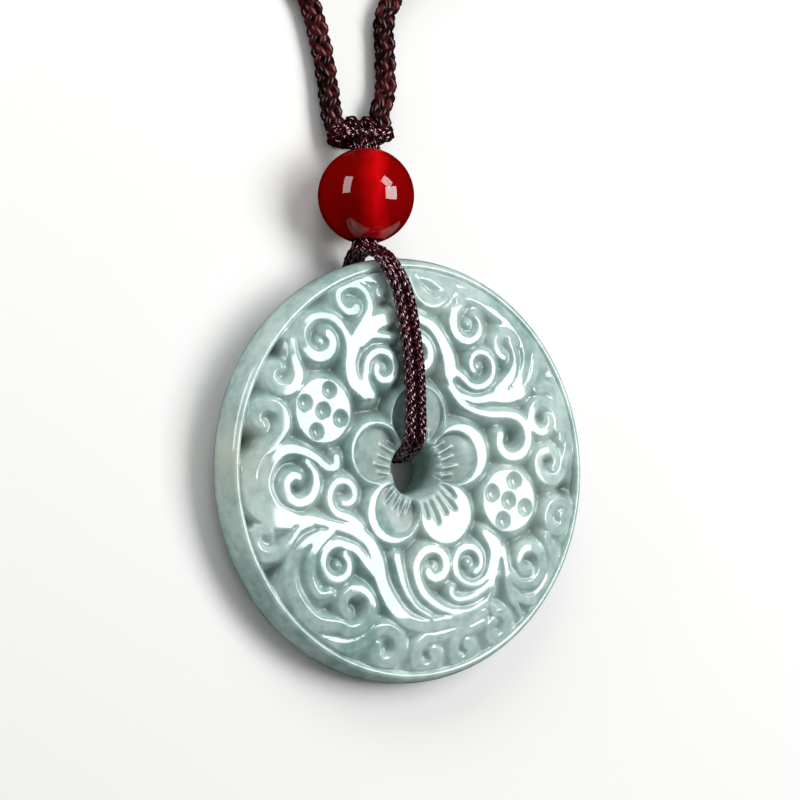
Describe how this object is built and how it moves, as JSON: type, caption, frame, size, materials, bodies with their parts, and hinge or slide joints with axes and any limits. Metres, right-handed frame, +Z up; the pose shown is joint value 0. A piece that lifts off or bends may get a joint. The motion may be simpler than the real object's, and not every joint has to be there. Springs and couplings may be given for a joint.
{
  "type": "jade peace buckle pendant",
  "caption": "Round carved jade disc with a central hole, on a thin looped cord with a red stone bead and a braided neck cord, lying face up.",
  "frame": {"origin": "on the table, under the middle of the disc, bead and thin cord together", "axes": "+Z up out of the table and out of the carved face, +Y from the disc towards the bead and the neck cord, +X to the right of the carving"},
  "size_m": [0.0502, 0.1184, 0.0102],
  "materials": {
    "jade": "polished, slightly translucent",
    "agate": "glassy polish, translucent",
    "thin_cord": "glossy knitted thread",
    "braided_cord": "soft round braid"
  },
  "bodies": {
    "root": {"jade_disc": "jade", "agate_bead": "agate", "loop_cord": "thin_cord", "neck_cord_left": "braided_cord", "neck_cord_right": "braided_cord", "neck_cord_coil": "braided_cord"}
  },
  "joints": []
}
